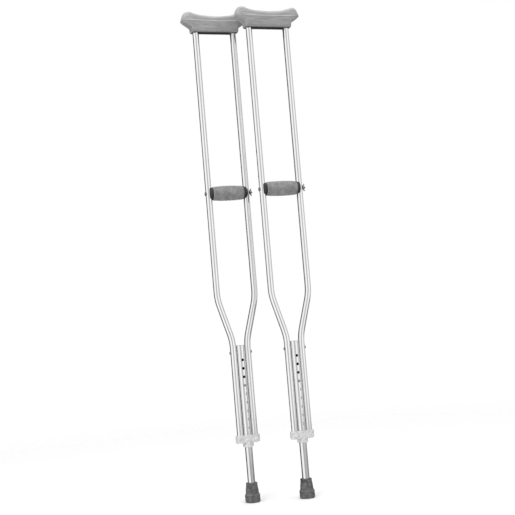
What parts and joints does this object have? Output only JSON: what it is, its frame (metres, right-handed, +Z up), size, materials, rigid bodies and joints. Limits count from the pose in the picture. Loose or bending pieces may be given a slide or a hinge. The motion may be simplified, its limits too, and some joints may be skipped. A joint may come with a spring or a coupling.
{
  "type": "pair of underarm crutches",
  "caption": "Pair of adjustable aluminium underarm crutches with padded crosspieces, soft handgrips, push-button telescoping legs and rubber tips.",
  "frame": {"origin": "middle of the left crutch's sole, on the floor", "axes": "+Z up along the crutches, +X across them from the left crutch to the right one (the wing nuts' side), +Y to the back"},
  "size_m": [0.3544, 0.112, 1.4908],
  "materials": {
    "tube_aluminium": "bright drawn and anodised",
    "sleeve_aluminium": "satin anodised",
    "leg_aluminium": "satin anodised",
    "bright_steel": "zinc plated",
    "spring_steel": "blued spring strip",
    "button_steel": "nickel plated",
    "collar_plastic": "light grey moulded nylon",
    "saddle_plastic": "grey moulded",
    "black_plastic": "black moulded",
    "pad_foam": "grey skinned foam rubber",
    "grip_foam": "grey soft foam",
    "tip_rubber": "dark grey moulded rubber"
  },
  "bodies": {
    "left_frame": {"left_centre_tube": "sleeve_aluminium", "left_bolt_side_tube": "tube_aluminium", "left_nut_side_tube": "tube_aluminium", "left_long_rivet": "bright_steel", "left_collar": "collar_plastic", "left_collar_screws": "bright_steel", "left_saddle": "saddle_plastic", "left_saddle_screws": "bright_steel", "left_underarm_pad": "pad_foam"},
    "left_leg": {"left_leg_tube": "leg_aluminium", "left_leg_glide": "black_plastic", "left_leg_tip": "tip_rubber", "left_tip_disc": "bright_steel", "left_snap_spring": "spring_steel"},
    "left_front_button": {"left_front_button": "button_steel"},
    "left_rear_button": {"left_rear_button": "button_steel"},
    "left_grip": {"left_grip_core": "black_plastic", "left_grip_cover": "grip_foam", "left_grip_bolt": "bright_steel", "left_bolt_washer": "bright_steel"},
    "left_nut_washer": {"left_nut_washer": "bright_steel"},
    "left_wing_nut": {"left_wing_nut": "bright_steel"},
    "right_frame": {"right_centre_tube": "sleeve_aluminium", "right_bolt_side_tube": "tube_aluminium", "right_nut_side_tube": "tube_aluminium", "right_long_rivet": "bright_steel", "right_collar": "collar_plastic", "right_collar_screws": "bright_steel", "right_saddle": "saddle_plastic", "right_saddle_screws": "bright_steel", "right_underarm_pad": "pad_foam"},
    "right_leg": {"right_leg_tube": "leg_aluminium", "right_leg_glide": "black_plastic", "right_leg_tip": "tip_rubber", "right_tip_disc": "bright_steel", "right_snap_spring": "spring_steel"},
    "right_front_button": {"right_front_button": "button_steel"},
    "right_rear_button": {"right_rear_button": "button_steel"},
    "right_grip": {"right_grip_core": "black_plastic", "right_grip_cover": "grip_foam", "right_grip_bolt": "bright_steel", "right_bolt_washer": "bright_steel"},
    "right_nut_washer": {"right_nut_washer": "bright_steel"},
    "right_wing_nut": {"right_wing_nut": "bright_steel"}
  },
  "joints": [
    {"name": "left_leg_height", "type": "slide", "parent": "left_frame", "child": "left_leg", "axis": [0, 0, 1], "range_m": [-0.0762, 0.0762]},
    {"name": "left_front_press", "type": "slide", "parent": "left_leg", "child": "left_front_button", "axis": [0, 1, 0], "range_m": [0, 0.004], "stiffness_N_per_m": 1500, "springref_m": -0.002, "deforming": ["left_snap_spring"]},
    {"name": "left_rear_press", "type": "slide", "parent": "left_leg", "child": "left_rear_button", "axis": [0, -1, 0], "range_m": [0, 0.004], "stiffness_N_per_m": 1500, "springref_m": -0.002, "deforming": ["left_snap_spring"]},
    {"name": "left_grip_height", "type": "slide", "parent": "left_frame", "child": "left_grip", "axis": [0, 0, 1], "range_m": [-0.1143, 0.1143]},
    {"name": "left_nut_travel", "type": "slide", "parent": "left_grip", "child": "left_nut_washer", "axis": [1, 0, 0], "range_m": [0, 0.00381]},
    {"name": "left_wing_nut_turn", "type": "hinge", "parent": "left_nut_washer", "child": "left_wing_nut", "pos_m": [0.07062, 0, 0.931], "axis": [1, 0, 0], "range_deg": [0, 1080]},
    {"name": "crutch_spacing", "type": "slide", "parent": "left_frame", "child": "right_frame", "axis": [1, 0, 0], "range_m": [0, 0.3]},
    {"name": "right_leg_height", "type": "slide", "parent": "right_frame", "child": "right_leg", "axis": [0, 0, 1], "range_m": [-0.0762, 0.0762]},
    {"name": "right_front_press", "type": "slide", "parent": "right_leg", "child": "right_front_button", "axis": [0, 1, 0], "range_m": [0, 0.004], "stiffness_N_per_m": 1500, "springref_m": -0.002, "deforming": ["right_snap_spring"]},
    {"name": "right_rear_press", "type": "slide", "parent": "right_leg", "child": "right_rear_button", "axis": [0, -1, 0], "range_m": [0, 0.004], "stiffness_N_per_m": 1500, "springref_m": -0.002, "deforming": ["right_snap_spring"]},
    {"name": "right_grip_height", "type": "slide", "parent": "right_frame", "child": "right_grip", "axis": [0, 0, 1], "range_m": [-0.1143, 0.1143]},
    {"name": "right_nut_travel", "type": "slide", "parent": "right_grip", "child": "right_nut_washer", "axis": [1, 0, 0], "range_m": [0, 0.00381]},
    {"name": "right_wing_nut_turn", "type": "hinge", "parent": "right_nut_washer", "child": "right_wing_nut", "pos_m": [0.22162, -0.062, 0.931], "axis": [1, 0, 0], "range_deg": [0, 1080]}
  ],
  "couplings": [
    {"joint": "left_wing_nut_turn", "follows": "left_nut_travel", "rad_per_m": 4947.4},
    {"joint": "right_wing_nut_turn", "follows": "right_nut_travel", "rad_per_m": 4947.4}
  ]
}
